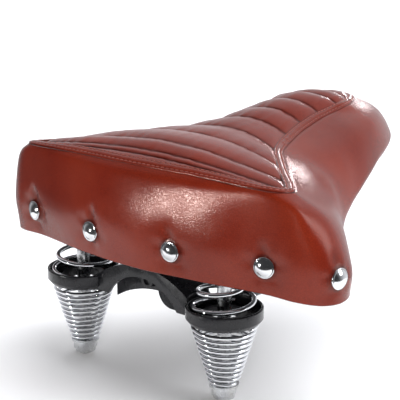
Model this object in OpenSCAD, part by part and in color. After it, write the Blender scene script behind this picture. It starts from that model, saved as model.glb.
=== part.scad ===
// Wide sprung bicycle saddle: riveted leather cover and quilted top on a
// moulded pan, carried by a rail wire at the nose and two double conical
// coil springs at the tail.
// +X is the rider's right, +Y points to the nose, +Z is up.
// The origin lies midway between the two rails, halfway along their straight
// clamp stretch, where a seat post clamp holds the saddle.

/* [Rails] */
// Diameter of the rail wire
rail_d = 7; // [6:0.5:8]
// Distance between the centre lines of the two rails
rail_gap = 44; // [42:1:46]
// Length of the straight stretch that the seat post clamp grips
clamp_length = 60; // [50:5:64]
// Angle at which the rails climb to the nose
rail_rise = 45; // [44:1:46]
// Straight part of the climb between its two bends
rail_climb = 74; // [73:0.5:75]

/* [Springs] */
// Distance between the two spring bolts
spring_spacing = 111; // [110:0.5:113]
// Distance of the spring bolts behind the origin
spring_setback = 80; // [78:1:82]
// Height of the cups' lower rims above the rail centre line
cup_height = 9; // [8:0.5:10]
// Outer radius of a spring cup
cup_r = 22; // [21.5:0.25:22.5]
// Radius of the springs' largest coil
coil_r_large = 18.9; // [18.5:0.1:19]
// Radius of the lower springs' smallest coil
coil_r_small = 7.6; // [7.2:0.1:8]
// Diameter of the lower springs' wire
wire_d = 2.2; // [1.8:0.1:2.4]
// Diameter of the upper springs' wire
upper_wire_d = 2.8; // [2.4:0.1:3]
// Turns in each lower spring
lower_turns = 11; // [8:1:12]
// Turns in each upper spring
upper_turns = 4.1; // [4:0.1:4.2]

/* [Fasteners] */
// Diameter of the spring bolts' shank
bolt_d = 8; // [6:1:8]
// Width across flats of the spring bolts' heads and nuts
hex_flats = 13; // [12:0.5:13]
// Diameter of the rivet heads
rivet_d = 12; // [10:0.5:13]

/* [Cover] */
// Thickness of the leather
leather = 2.8; // [2:0.1:3]
// Thickness of the pan's wall
pan_wall = 2.5; // [2:0.1:2.6]

/* [Hidden] */

$fn = 48;
eps = 0.01;
lap = 0.3;
bend_thinning = 0.02;
rail_r = rail_d / 2;
rail_x = rail_gap / 2;
bolt_r = bolt_d / 2;
spring_x = spring_spacing / 2;

// Rail wire: bends of the wire's centre line
rise_bend_r = 25;
nose_bend_r = 12;
rear_bend_r = 20;
rear_bend = 40;
rear_tail = 13;
climb_full = rail_climb + nose_bend_r;
axle_y = clamp_length / 2 + rise_bend_r * sin(rail_rise) + climb_full * cos(rail_rise);
axle_z = rise_bend_r * (1 - cos(rail_rise)) + climb_full * sin(rail_rise);

// Heights above the cups' lower rims
pad_t = 2.5;
cup_floor_t = 1.5;
cup_wall_t = 1.6;
cup_rim = 9;
cup_foot_r = 20;
cup_play = 0.05;
bore_r = 11;
pan_top = 47.5;
lower_end = -37.3;
washer_t = 1.2;
washer_r = 8.6;
nut_h = 7.2;
nut_collar_h = 2;
nut_collar_r = 6.2;
bolt_end = 1.5;

// The soft body's outlines. Each is the rider's right half, from the middle of
// the tail to the middle of the nose, as [x, y, z] measured from the midpoint
// between the cups' lower rims.
hem = [
    [0, -18, 25], [45, -14, 25], [86, -6.5, 24.6], [106, -3, 23.4],
    [118, 5, 22], [122, 18, 21.6], [116, 33, 23.4], [95, 54, 29],
    [76, 82, 35.5], [65, 110, 43], [58, 137, 52], [51, 160, 60],
    [44, 182, 64], [33, 205, 66], [18, 219, 67], [0, 223, 67]];
bulge = [
    [0, -20.5, 50], [45, -17, 50], [87, -9.5, 49], [107, -5.5, 47],
    [119.5, 4, 44], [123, 18, 39], [116, 34, 38], [95, 57, 41],
    [78, 84, 47], [68, 112, 54], [61.5, 138, 62], [54, 162, 69],
    [46, 183, 72], [34, 206, 73], [18.5, 220, 74], [0, 224, 74]];
shoulder = [
    [0, -17.2, 76], [45, -14.6, 76], [87, -10, 75], [104, -5.5, 72.5],
    [110, 4, 68.5], [111.5, 18, 65], [102, 38, 63.5], [84, 58, 67],
    [65, 83, 71], [56, 111, 77], [51, 139, 83], [45.5, 161, 87],
    [38, 181, 88], [27, 200, 88], [13.5, 212, 88], [0, 215, 88]];
seam = [
    [0, -12.4, 84.3], [45, -10.6, 84.1], [82, -9, 83.3], [94, -5, 82.4],
    [97, 4, 81], [92, 12, 80.8], [79, 26, 81.6], [61, 46, 82.6],
    [42.5, 70, 84], [31.5, 100, 87.6], [27, 126, 91.4], [26, 147, 94.2],
    [26.5, 160, 96.4], [21.5, 177, 96.8], [12, 191, 96.6], [0, 196, 96.4]];
// Height of the crown along the middle of the top, as [y, z]
crown = [
    [6, 93], [20, 94.5], [40, 94], [60, 92.8], [80, 94], [102, 97.2],
    [126, 100.6], [148, 102.4], [166, 102.4], [180, 100.6]];
// Height of the pan's top face, as [y, z]
pan_heights = [
    [-30, pan_top], [9.5, pan_top], [26, 43], [57, 41.5], [84, 47.5], [112, 54.5],
    [138, 62.5], [158, 69], [170, 72.5], [230, 72.5]];
// Height of the pan's lower edge, as [y, z]
pan_feet = [
    [230, 69], [205, 68.5], [182, 67], [160, 63.5], [137, 56], [110, 47.5],
    [82, 40], [54, 34], [30, 31.5], [-30, 31.5]];
// Gap between the pan's top face and the foam, as [y, gap]: the foam is
// hollowed to clear the bolt heads at the tail and the clip's screws at the nose
foam_gap = [[-30, 6.4], [16, 6.4], [40, 0.9], [150, 0.9], [163, 4], [230, 4]];
cover_half = 130;
cover_height = 90;
crown_start = 6;
crown_end = 180;
crown_shape = 1.9;
pan_end = 200;
clip_face = 72.5;
pan_foot = 0.2;
pan_inset = 3.8;
// Notches in the pan's rim beside the upper springs
notch_r = 12.2;
notch_h = 25;
notch_depth = 0.2;
foam_foot = 1.5;
foam_step = 4;
foam_play = 0.3;
head_h = 3;
welt_r = 1;
welt_out = 0.8;
top_edge = 1.6;
seam_edge_t = 1.2;

// Bridge and anchor, seen from behind
bridge_rear = -8;
bridge_front = 11;
bridge_t = 2.5;
bridge_top = 22;
bridge_arc_r = 58;
bridge_half = 40;
arch_half = 27;
arch_top = 15;
arch_r = 31.8;
foot_half = 35.5;
foot_bottom = -9;
belly_top = 2.5;
belly_r = 66;
anchor_rear = 26.5;
anchor_front = 32;
anchor_half = 18;
anchor_depth = 15.5;
anchor_corner_r = 11;
anchor_top = 14;
tongue_half = 14;
tongue_bottom = 3;
anchor_screw_x = 8;
anchor_screw_z = 8;
anchor_screw_l = 16;
anchor_screw_r = 2.5;
anchor_head_r = 4.4;
anchor_head_h = 3;
// Play between a screw or a rod and its hole
snug = 0.05;
loose = 0.1;

// Small parts
bush_r = 9.3;
bush_flange = 3.6;
bush_flange_t = 1;
bush_drop = 0.2;
head_washer_t = 1.6;
rivet_h = 2.3;
rivet_l = 8.55;
rivet_shank_r = 2;
rivet_washer_r = 4.2;
rivet_washer_t = 0.8;
rivet_tail = 0.2;
coil_steps = 16;
// Heading of the upper springs' lower ends, left and right
upper_starts = [228, 110];
// Radius of the upper springs by height above the cups' lower rims
upper_profile = [[5.5, 18.7], [15, 16], [18, 14.6], [21, 11.4], [24.2, 7.6], [42.3, 6.2]];
lower_profile = [[lower_end, coil_r_small], [0, coil_r_large]];
wire_sides = 6;
clip_w = 30;
clip_l = 28;
clip_t = 2.4;
clip_r = 6;
clip_barrel = 16;
clip_screw_x = 11.5;
clip_screw_y = 8.5;
clip_screw_r = 2.5;
clip_head_r = 3.4;
clip_head_h = 2.6;
clip_play = 0.06;
backing_t = 2;
clip_screw_l = clip_t + pan_wall + backing_t + 1;
rivet_seat = rivet_l - rivet_tail - rivet_washer_t - snug;

// Rivets on the rider's right half, as [x, y, z, heading of the rivet's axis]
rivets = [[31, -17.8, 39.5, -86], [89, -8.4, 40, -77], [122.8, 12.2, 35.9, -8]];

// Points of a smooth curve between p1 and p2
function curve(p0, p1, p2, p3, t) = 0.5 * (2 * p1 + (p2 - p0) * t
    + (2 * p0 - 5 * p1 + 4 * p2 - p3) * t * t
    + (3 * p1 - p0 - 3 * p2 + p3) * t * t * t);
function flip(p) = [-p[0], p[1], p[2]];
// Control point i of a half outline, carried on past both ends by its mirror image
function held(c, i) = i < 0 ? flip(c[-i])
    : i > len(c) - 1 ? flip(c[2 * (len(c) - 1) - i])
    : c[i];
spans = len(hem) - 1;
per_span = 2;
half_count = spans * per_span;
ring_count = 2 * half_count;
function half_outline(c) = [for (k = [0:half_count])
    let (i = min(floor(k / per_span), spans - 1), t = k / per_span - i)
    curve(held(c, i - 1), held(c, i), held(c, i + 1), held(c, i + 2), t)];
// The whole ring: the half outline followed by its mirror image
function ring(c) = let (h = half_outline(c))
    concat(h, [for (k = [half_count - 1:-1:1]) flip(h[k])]);
rings = [ring(hem), ring(bulge), ring(shoulder), ring(seam)];
// The side of the body at height v: 0 is the hem, 1 the bulge, 2 the shoulder, 3 the seam
function side_point(v, k) = let (j = min(floor(v), 2), t = v - j,
    a = rings[j][k], b = rings[j + 1][k],
    before = j == 0 ? 2 * a - b : rings[j - 1][k],
    after = j == 2 ? 2 * b - a : rings[j + 2][k])
    curve(before, a, b, after, t);
function side_ring(v) = [for (k = [0:ring_count - 1]) side_point(v, k)];
// A ring moved inwards by d and down by drop
function inset(r, d, drop = 0) = [for (k = [0:ring_count - 1])
    let (a = r[(k + ring_count - 1) % ring_count], b = r[(k + 1) % ring_count],
        t = [b[0] - a[0], b[1] - a[1]], n = [t[1], -t[0]] / norm(t))
    r[k] - [n[0] * d, n[1] * d, drop]];
function mix(a, b, t) = a + (b - a) * t;
// The middle line under or over the rings, one point for each pair of ring points
function share(r, k) = (r[k][1] - r[0][1]) / (r[half_count][1] - r[0][1]);
function crown_y(k) = mix(crown_start, crown_end, share(rings[3], k));
function top_middle(drop) = [for (k = [0:half_count])
    [0, crown_y(k), lookup(crown_y(k), crown) - drop]];
function foam_under(y) = lookup(y, pan_heights) + lookup(y, foam_gap);
function foam_middle() = [for (k = [0:half_count])
    let (y = mix(crown_start, pan_end, share(rings[0], k))) [0, y, foam_under(y)]];
// The top of the body at share u of the way from the seam to the middle line
function top_ring(u, edge, drop) = let (start = inset(rings[3], edge))
    [for (k = [0:ring_count - 1])
    let (m = min(k, ring_count - k), y = crown_y(m), high = lookup(y, crown),
        s = start[k], rise = 1 - pow(1 - u, crown_shape))
    [mix(s[0], 0, u), mix(s[1], y, u), mix(s[2], high, rise) - drop]];
function foam_ring(r) = [for (p = r) [p[0], p[1], foam_under(p[1])]];

// A closed solid through a list of rings, from the first middle line to the last
module capped_loft(first, list, last) {
    n = ring_count;
    mid = half_count + 1;
    points = concat(first, [for (r = list) each r], last);
    body = mid;
    end = mid + len(list) * n;
    function m(k) = min(k % n, n - k % n);
    sides = [for (j = [0:len(list) - 2], k = [0:n - 1])
        let (a = body + j * n + k, b = body + j * n + (k + 1) % n) each
        [[a, a + n, b], [b, a + n, b + n]]];
    // Each pair of triangles at the middle line splits so that neither is flat
    low = [for (k = [0:n - 1])
        let (a = body + k, b = body + (k + 1) % n, p = m(k), q = m(k + 1)) each
        k % half_count < half_count / 2 ? [[a, b, p], [b, q, p]] : [[a, b, q], [a, q, p]]];
    top = [for (k = [0:n - 1])
        let (o = body + (len(list) - 1) * n, a = o + k, b = o + (k + 1) % n,
            p = end + m(k), q = end + m(k + 1)) each
        k % half_count < half_count / 2 ? [[b, a, p], [b, p, q]] : [[b, a, q], [a, p, q]]];
    polyhedron(points, concat(low, sides, top));
}
// A closed band through a list of rings, whose last ring joins the first
module banded_loft(list) {
    n = ring_count;
    points = [for (r = list) each r];
    faces = [for (j = [0:len(list) - 1], k = [0:n - 1])
        let (jn = (j + 1) % len(list), a = j * n + k, b = j * n + (k + 1) % n,
            c = jn * n + k, d = jn * n + (k + 1) % n) each
        [[a, c, b], [b, c, d]]];
    polyhedron(points, faces);
}
// Moves a child from the springs' midpoint to its place
module from_cups() {
    translate([0, -spring_setback, cup_height]) children();
}
module at_spring(side) {
    from_cups() translate([side * spring_x, 0, 0]) children();
}
// Places a child at each rivet, with +Z along the rivet's axis, outwards
module at_rivets() {
    from_cups() for (side = [-1, 1], r = rivets)
        scale_x(side) translate([r[0], r[1], r[2]]) rotate([0, 90, r[3]]) children();
}
module scale_x(side) {
    if (side < 0) mirror([1, 0, 0]) children();
    else children();
}
module hexagon_bar(h) {
    cylinder(r = hex_flats / sqrt(3), h = h, $fn = 6);
}

// A straight length of the wire along +Z, lapping into the bends at its ends
module rod(length) {
    translate([0, 0, -lap]) cylinder(r = rail_r, h = length + 2 * lap);
}
// A bend of the wire round the Z axis, starting on the X axis. Drawing makes the
// wire a little thinner in its bends.
module bend(r, angle) {
    rotate_extrude(angle = angle) translate([r, 0]) circle(r = rail_r - bend_thinning);
}
// The wire on one side, from the anchor to the nose bar
module rail_side() {
    // Straight clamp stretch
    translate([rail_x, -clamp_length / 2, 0]) rotate([-90, 0, 0]) rod(clamp_length);
    // Bend up, climb, and bend inwards
    translate([rail_x, clamp_length / 2, 0]) {
        translate([0, 0, rise_bend_r]) rotate([0, 90, 0]) bend(rise_bend_r, rail_rise);
        translate([0, rise_bend_r * sin(rail_rise), rise_bend_r * (1 - cos(rail_rise))])
            rotate([rail_rise, 0, 0]) {
                rotate([-90, 0, 0]) rod(rail_climb);
                translate([-nose_bend_r, rail_climb, 0]) bend(nose_bend_r, 90);
            }
    }
    // Bend inwards at the rear and run into the anchor
    at_rear_bend() {
        bend(rear_bend_r, rear_bend);
        translate([rear_bend_r, 0, 0]) rotate([90, 0, 0]) rod(rear_tail);
    }
}
// Places a child at the rear bend's centre, with +X towards the bend's rear end
module at_rear_bend() {
    translate([rail_x - rear_bend_r, -clamp_length / 2, 0]) rotate([0, 0, -rear_bend])
        children();
}

module rail_wire() {
    nose_half = rail_x - nose_bend_r;
    color("#141414") {
        for (side = [-1, 1]) scale_x(side) rail_side();
        translate([-nose_half, axle_y, axle_z]) rotate([0, 90, 0]) rod(2 * nose_half);
    }
}

// Block in front of the bridge that grips the rails' rear ends
module rail_anchor() {
    color("#161616") difference() {
        from_cups() {
            translate([0, anchor_front, 0]) rotate([90, 0, 0])
                linear_extrude(anchor_front - anchor_rear) anchor_outline();
            translate([-tongue_half, bridge_front, tongue_bottom])
                cube([2 * tongue_half, anchor_rear - bridge_front + 1,
                    anchor_top - tongue_bottom]);
        }
        for (side = [-1, 1]) scale_x(side) at_rear_bend()
            translate([rear_bend_r, lap, 0]) rotate([90, 0, 0])
            cylinder(r = rail_r + snug, h = rear_tail + 1);
        at_anchor_screws() translate([0, 0, -anchor_screw_l])
            cylinder(r = anchor_screw_r + snug, h = 2 * anchor_screw_l);
    }
}
module anchor_outline() {
    low = anchor_corner_r - anchor_depth;
    translate([-anchor_half, low]) square([2 * anchor_half, anchor_top - low]);
    translate([-anchor_half + anchor_corner_r, -anchor_depth])
        square([2 * (anchor_half - anchor_corner_r), anchor_depth]);
    for (side = [-1, 1]) translate([side * (anchor_half - anchor_corner_r), low])
        circle(r = anchor_corner_r);
}
// Places a child at each anchor screw, on the bridge's front wall, with +Z to the rear
module at_anchor_screws() {
    from_cups() for (side = [-1, 1])
        translate([side * anchor_screw_x, bridge_front - bridge_t, anchor_screw_z])
        rotate([90, 0, 0]) children();
}
module anchor_screws() {
    color("#9da0a4") at_anchor_screws() {
        translate([0, 0, -anchor_screw_l + 1])
            cylinder(r = anchor_screw_r, h = anchor_screw_l - 1);
        difference() {
            cylinder(r = anchor_head_r, h = anchor_head_h);
            translate([0, 0, anchor_head_h / 2])
                cylinder(r = anchor_screw_r / cos(30), h = anchor_head_h, $fn = 6);
        }
    }
}

// Arched channel that carries both cups and the rails' anchor
module spring_bridge() {
    color("#121212") from_cups() difference() {
        union() {
            translate([0, bridge_front, 0]) rotate([90, 0, 0])
                linear_extrude(bridge_front - bridge_rear) bridge_outline(0);
            // Feet of the front wall, which hang below the cups
            translate([0, bridge_front, 0]) rotate([90, 0, 0]) linear_extrude(bridge_t)
                translate([-foot_half, foot_bottom]) square([2 * foot_half, 1 - foot_bottom]);
            for (side = [-1, 1]) translate([side * spring_x, 0, 0])
                cylinder(r1 = cup_foot_r, r2 = cup_r, h = pad_t);
        }
        // Hollow of the channel
        translate([0, bridge_front - bridge_t, -eps]) rotate([90, 0, 0])
            linear_extrude(bridge_front - bridge_rear - 2 * bridge_t)
            bridge_outline(bridge_t);
        // Wide arch of the front wall
        translate([0, bridge_front + 1, 0]) rotate([90, 0, 0])
            linear_extrude(bridge_t + 1 + eps) translate([0, belly_top - belly_r])
            circle(r = belly_r, $fn = 120);
        // Arch of the rear wall
        translate([0, bridge_rear + bridge_t + eps, 0]) rotate([90, 0, 0])
            linear_extrude(bridge_t + 1) arch_outline();
        for (side = [-1, 1]) translate([side * spring_x, 0, 0]) {
            translate([0, 0, -1]) cylinder(r = bore_r, h = bridge_top);
            translate([0, 0, pad_t]) cylinder(r = cup_r + cup_play, h = bridge_top);
        }
        for (side = [-1, 1]) translate([side * anchor_screw_x, 0, anchor_screw_z])
            rotate([-90, 0, 0]) cylinder(r = anchor_screw_r + loose, h = bridge_front + 1);
    }
}
// The bridge seen from behind, less a wall's thickness all round but below
module bridge_outline(wall) {
    intersection() {
        translate([0, bridge_top - bridge_arc_r]) circle(r = bridge_arc_r - wall, $fn = 120);
        translate([-bridge_half + wall, 0])
            square([2 * (bridge_half - wall), bridge_top]);
    }
}
// Opening under the rear wall: a low arch with straight feet
module arch_outline() {
    intersection() {
        translate([0, arch_top - arch_r]) circle(r = arch_r, $fn = 120);
        translate([-arch_half, -1]) square([2 * arch_half, arch_top + 1]);
    }
}

module spring_cup() {
    rotate_extrude() {
        translate([bore_r, pad_t]) square([cup_r - bore_r, cup_floor_t]);
        translate([cup_r - cup_wall_t, pad_t])
            square([cup_wall_t, cup_rim - pad_t - cup_wall_t / 2]);
        translate([cup_r - cup_wall_t / 2, cup_rim - cup_wall_t / 2])
            circle(r = cup_wall_t / 2);
    }
}
module cup_left() { color("#101010") at_spring(-1) spring_cup(); }
module cup_right() { color("#101010") at_spring(1) spring_cup(); }

// Nylon bush that keeps the bolt off the cup's edge
module cup_bush() {
    rotate_extrude() {
        translate([bush_r, bush_drop])
            square([bore_r - snug - bush_r, pad_t + cup_floor_t]);
        translate([bush_r, pad_t + cup_floor_t]) square([bush_flange, bush_flange_t]);
    }
}
module cup_bush_left() { color("#1c1c1f") at_spring(-1) cup_bush(); }
module cup_bush_right() { color("#1c1c1f") at_spring(1) cup_bush(); }

// A coil spring from height z0 to height z1, whose radius follows a profile
module coil(wire_r, z0, z1, turns, profile) {
    steps = round(turns * coil_steps);
    points = [for (i = [0:steps], j = [0:wire_sides - 1])
        let (t = i / steps, turn = 360 * turns * t, around = 360 * j / wire_sides,
            z = mix(z0, z1, t), r = lookup(z, profile) + wire_r * cos(around))
        [r * cos(turn), r * sin(turn), z + wire_r * sin(around)]];
    sides = [for (i = [0:steps - 1], j = [0:wire_sides - 1])
        let (a = i * wire_sides + j, b = i * wire_sides + (j + 1) % wire_sides) each
        [[a, b, a + wire_sides], [b, b + wire_sides, a + wire_sides]]];
    start = [for (j = [wire_sides - 1:-1:0]) j];
    end = [for (j = [0:wire_sides - 1]) steps * wire_sides + j];
    polyhedron(points, concat(sides, [start, end]));
}
// The springs are mirror images, apart from the heading of their lower ends
module upper_spring(side) {
    wire_r = upper_wire_d / 2;
    at_spring(side) scale_x(side) rotate(upper_starts[(side + 1) / 2])
        coil(wire_r, pad_t + cup_floor_t + wire_r + loose,
            pan_top - pan_wall - washer_t - wire_r - loose, upper_turns, upper_profile);
}
// Drawn downwards from the cup, so its rings turn over
module lower_spring(side) {
    wire_r = wire_d / 2;
    at_spring(side) scale_x(side) coil(wire_r, -wire_r - loose,
        lower_end + wire_r + loose, lower_turns, lower_profile);
}
module upper_spring_left() { color("#c4c7cb") upper_spring(-1); }
module upper_spring_right() { color("#c4c7cb") upper_spring(1); }
module lower_spring_left() { color("#c4c7cb") lower_spring(-1); }
module lower_spring_right() { color("#c4c7cb") lower_spring(1); }

// The pan's outline seen from above, moved inwards by d
module pan_outline(d) {
    polygon([for (p = inset(side_ring(pan_foot), pan_inset + d)) [p[0], p[1]]]);
}
// A shape drawn on Y and Z, carried across the whole width
module across(shape) {
    translate([-cover_half, 0, 0]) rotate([90, 0, 90])
        linear_extrude(2 * cover_half) polygon(shape);
}
// Moulded pan: a shallow dish that follows the cover's lower edge
module base_pan() {
    under = [for (p = pan_heights) [p[0], p[1] - pan_wall]];
    color("#26262a") difference() {
        from_cups() intersection() {
            linear_extrude(cover_height) pan_outline(0);
            across(concat(pan_heights, pan_feet));
        }
        from_cups() intersection() {
            linear_extrude(cover_height) pan_outline(pan_wall);
            across(concat(under, [[230, 1], [-30, 1]]));
        }
        for (side = [-1, 1]) at_spring(side) {
            translate([0, 0, pan_top - 2 * pan_wall])
                cylinder(r = bolt_r + 2 * loose, h = 4 * pan_wall);
            translate([0, 0, pan_top - pan_wall + notch_depth - notch_h])
                cylinder(r = notch_r, h = notch_h);
        }
        rivet_holes();
        // Flat seats for the rivets' washers
        at_rivets() translate([0, 0, -2 * rivet_l - rivet_seat])
            cylinder(r = rivet_washer_r + 3 * loose, h = 2 * rivet_l);
        at_clip_screws() translate([0, 0, -1])
            cylinder(r = clip_screw_r + loose, h = clip_screw_l + 1);
    }
}
// Foam between the pan and the leather, which clears the bolt heads below it
module foam_pad() {
    under = leather + foam_play;
    color("#d8c493") from_cups() capped_loft(foam_middle(),
        [foam_ring(inset(side_ring(foam_foot), under + foam_step)),
            for (v = [foam_foot, 2, 2.5]) inset(side_ring(v), under, v),
            for (u = [0.12, 0.4, 0.7]) top_ring(u, under, under)],
        top_middle(under));
}
// Holes for the rivets' shanks
module rivet_holes() {
    at_rivets() translate([0, 0, -1.5 * rivet_l])
        cylinder(r = rivet_shank_r + snug, h = 3 * rivet_l);
}
module leather_skirt() {
    heights = [0, 0.5, 1, 1.5, 2, 2.5, 3];
    thickness = [[0, leather], [1, leather], [3, seam_edge_t]];
    color("#6f2d1b") difference() {
        from_cups() banded_loft([
            for (v = heights) side_ring(v),
            for (i = [6:-1:0]) let (v = heights[i])
                inset(side_ring(v), lookup(v, thickness),
                    lookup(v, [[0, 0], [1, 0], [3, leather]]))]);
        rivet_holes();
        // The leather is pressed flat under the rivets' heads
        at_rivets() cylinder(r = rivet_d / 2 + loose, h = rivet_l);
    }
}
module top_panel() {
    shares = [0, 0.06, 0.2, 0.45, 0.72];
    color("#7a3321") from_cups() capped_loft(top_middle(leather),
        [for (i = [4:-1:0]) top_ring(shares[i], top_edge, leather),
            for (i = [0:4]) top_ring(shares[i], top_edge, 0)],
        top_middle(0));
}
// Raised leather welt sewn into the seam between the skirt and the top
module seam_welt() {
    color("#5c2415") from_cups() banded_loft([for (i = [0:5])
        inset(rings[3], welt_out - welt_r * sin(60 * i), welt_r * cos(60 * i) - welt_out)]);
}

// Domed rivets through the leather and the pan's rim
module rear_rivets() {
    dome_r = (pow(rivet_d / 2, 2) + pow(rivet_h, 2)) / (2 * rivet_h);
    color("#b9bcc0") at_rivets() {
        intersection() {
            cylinder(r = rivet_d / 2, h = 2 * rivet_h);
            translate([0, 0, rivet_h - dome_r]) sphere(r = dome_r, $fn = 96);
        }
        translate([0, 0, -rivet_l]) cylinder(r = rivet_shank_r, h = rivet_l + 1);
    }
}
module rivet_washers() {
    color("#8d9094") at_rivets() translate([0, 0, -rivet_l + rivet_tail]) difference() {
        cylinder(r = rivet_washer_r, h = rivet_washer_t);
        translate([0, 0, -1]) cylinder(r = rivet_shank_r + snug, h = rivet_washer_t + 2);
    }
}

module washer(outer_r, t) {
    difference() {
        cylinder(r = outer_r, h = t);
        translate([0, 0, -1]) cylinder(r = bolt_r + snug, h = t + 2);
    }
}
module spring_bolt() {
    head_z = pan_top + head_washer_t;
    low_z = lower_end - washer_t - nut_h - bolt_end;
    translate([0, 0, low_z]) cylinder(r = bolt_r, h = head_z - low_z + eps);
    translate([0, 0, head_z]) hexagon_bar(head_h);
}
module spring_bolt_left() { color("#b4b7bb") at_spring(-1) spring_bolt(); }
module spring_bolt_right() { color("#b4b7bb") at_spring(1) spring_bolt(); }
module head_washer(side) {
    at_spring(side) translate([0, 0, pan_top]) washer(washer_r, head_washer_t);
}
module upper_washer(side) {
    at_spring(side) translate([0, 0, pan_top - pan_wall - washer_t])
        washer(washer_r, washer_t);
}
module lower_washer(side) {
    at_spring(side) translate([0, 0, lower_end - washer_t]) washer(washer_r, washer_t);
}
module head_washer_left() { color("#a8abb0") head_washer(-1); }
module head_washer_right() { color("#a8abb0") head_washer(1); }
module upper_washer_left() { color("#a8abb0") upper_washer(-1); }
module upper_washer_right() { color("#a8abb0") upper_washer(1); }
module lower_washer_left() { color("#a8abb0") lower_washer(-1); }
module lower_washer_right() { color("#a8abb0") lower_washer(1); }
// Locking nut: a hexagon with a round collar below it
module lower_nut() {
    translate([0, 0, lower_end - washer_t - nut_h]) difference() {
        union() {
            translate([0, 0, nut_collar_h]) hexagon_bar(nut_h - nut_collar_h);
            cylinder(r = nut_collar_r, h = 1.25 * nut_collar_h);
        }
        translate([0, 0, -1]) cylinder(r = bolt_r + snug, h = nut_h + 2);
    }
}
module lower_nut_left() { color("#b4b7bb") at_spring(-1) lower_nut(); }
module lower_nut_right() { color("#b4b7bb") at_spring(1) lower_nut(); }

// Folded clip that turns on the rail wire's nose bar
module nose_clip() {
    flange_z = cup_height + clip_face - pan_wall - clip_t;
    color("#17171a") difference() {
        union() {
            translate([-clip_barrel / 2, axle_y, axle_z]) rotate([0, 90, 0])
                cylinder(r = clip_r, h = clip_barrel);
            translate([-clip_barrel / 2, axle_y - clip_r + 2, axle_z])
                cube([clip_barrel, 2 * clip_r - 4, flange_z - axle_z + 1]);
            translate([-clip_w / 2, axle_y - clip_l / 2, flange_z])
                cube([clip_w, clip_l, clip_t]);
        }
        translate([-clip_barrel, axle_y, axle_z]) rotate([0, 90, 0])
            cylinder(r = rail_r + clip_play, h = 2 * clip_barrel);
        at_clip_screws() translate([0, 0, -1])
            cylinder(r = clip_screw_r + loose, h = clip_screw_l);
    }
}
// Places a child at each clip screw, on the clip's underside, with +Z upwards
module at_clip_screws() {
    for (side = [-1, 1], end = [-1, 1])
        translate([side * clip_screw_x, axle_y + end * clip_screw_y,
            cup_height + clip_face - pan_wall - clip_t]) children();
}
module clip_screws() {
    color("#9da0a4") at_clip_screws() {
        cylinder(r = clip_screw_r, h = clip_screw_l);
        translate([0, 0, -clip_head_h]) cylinder(r = clip_head_r, h = clip_head_h);
    }
}
module clip_backing_plate() {
    color("#8d9094") difference() {
        translate([-clip_w / 2, axle_y - clip_l / 2, cup_height + clip_face])
            cube([clip_w, clip_l, backing_t]);
        at_clip_screws() cylinder(r = clip_screw_r + snug, h = 2 * clip_screw_l);
    }
}

rail_wire();
rail_anchor();
anchor_screws();
spring_bridge();
cup_left();
cup_right();
cup_bush_left();
cup_bush_right();
upper_spring_left();
upper_spring_right();
lower_spring_left();
lower_spring_right();
base_pan();
foam_pad();
leather_skirt();
top_panel();
seam_welt();
rear_rivets();
rivet_washers();
spring_bolt_left();
spring_bolt_right();
head_washer_left();
head_washer_right();
upper_washer_left();
upper_washer_right();
lower_washer_left();
lower_washer_right();
lower_nut_left();
lower_nut_right();
nose_clip();
clip_screws();
clip_backing_plate();
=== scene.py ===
import math

import bmesh
import bpy
import numpy as np
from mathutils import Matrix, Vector, noise
from mathutils.kdtree import KDTree


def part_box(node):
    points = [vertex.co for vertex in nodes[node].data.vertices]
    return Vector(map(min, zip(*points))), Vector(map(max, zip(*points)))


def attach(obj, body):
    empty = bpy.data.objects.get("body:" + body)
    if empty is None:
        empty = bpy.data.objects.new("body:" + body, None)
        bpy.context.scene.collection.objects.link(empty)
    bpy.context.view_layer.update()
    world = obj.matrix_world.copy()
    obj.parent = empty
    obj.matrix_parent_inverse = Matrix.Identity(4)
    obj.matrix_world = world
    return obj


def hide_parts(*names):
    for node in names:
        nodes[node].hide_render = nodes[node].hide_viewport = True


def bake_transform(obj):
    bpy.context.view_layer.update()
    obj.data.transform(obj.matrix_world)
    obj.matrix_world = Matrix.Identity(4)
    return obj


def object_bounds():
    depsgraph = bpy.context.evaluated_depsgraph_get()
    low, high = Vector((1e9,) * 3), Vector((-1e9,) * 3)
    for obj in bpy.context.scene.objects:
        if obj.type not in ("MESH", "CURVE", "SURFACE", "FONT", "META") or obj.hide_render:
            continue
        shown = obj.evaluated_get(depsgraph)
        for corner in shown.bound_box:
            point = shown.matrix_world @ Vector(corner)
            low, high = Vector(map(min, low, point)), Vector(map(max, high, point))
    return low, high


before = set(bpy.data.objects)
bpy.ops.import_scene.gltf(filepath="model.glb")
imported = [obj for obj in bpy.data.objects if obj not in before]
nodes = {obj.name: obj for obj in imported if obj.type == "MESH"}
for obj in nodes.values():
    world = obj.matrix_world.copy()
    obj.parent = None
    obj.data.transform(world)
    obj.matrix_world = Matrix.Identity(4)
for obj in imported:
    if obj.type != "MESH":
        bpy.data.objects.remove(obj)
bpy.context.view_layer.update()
scene = bpy.context.scene

# ---------------------------------------------------------------- the frame
# Outlines are written in millimetres from the midpoint between the spring
# cups' lower rims, and turned into metres of the row frame by place().
bolt_low, bolt_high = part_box("spring_bolt_right")
bolt_x = (bolt_low.x + bolt_high.x) / 2
bolt_y = (bolt_low.y + bolt_high.y) / 2
BRIDGE_TOP = 0.022
CUPS_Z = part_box("spring_bridge")[1].z - BRIDGE_TOP


def place(points):
    p = np.asarray(points, float) / 1000
    return p + np.array([0, bolt_y, CUPS_Z])


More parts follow.
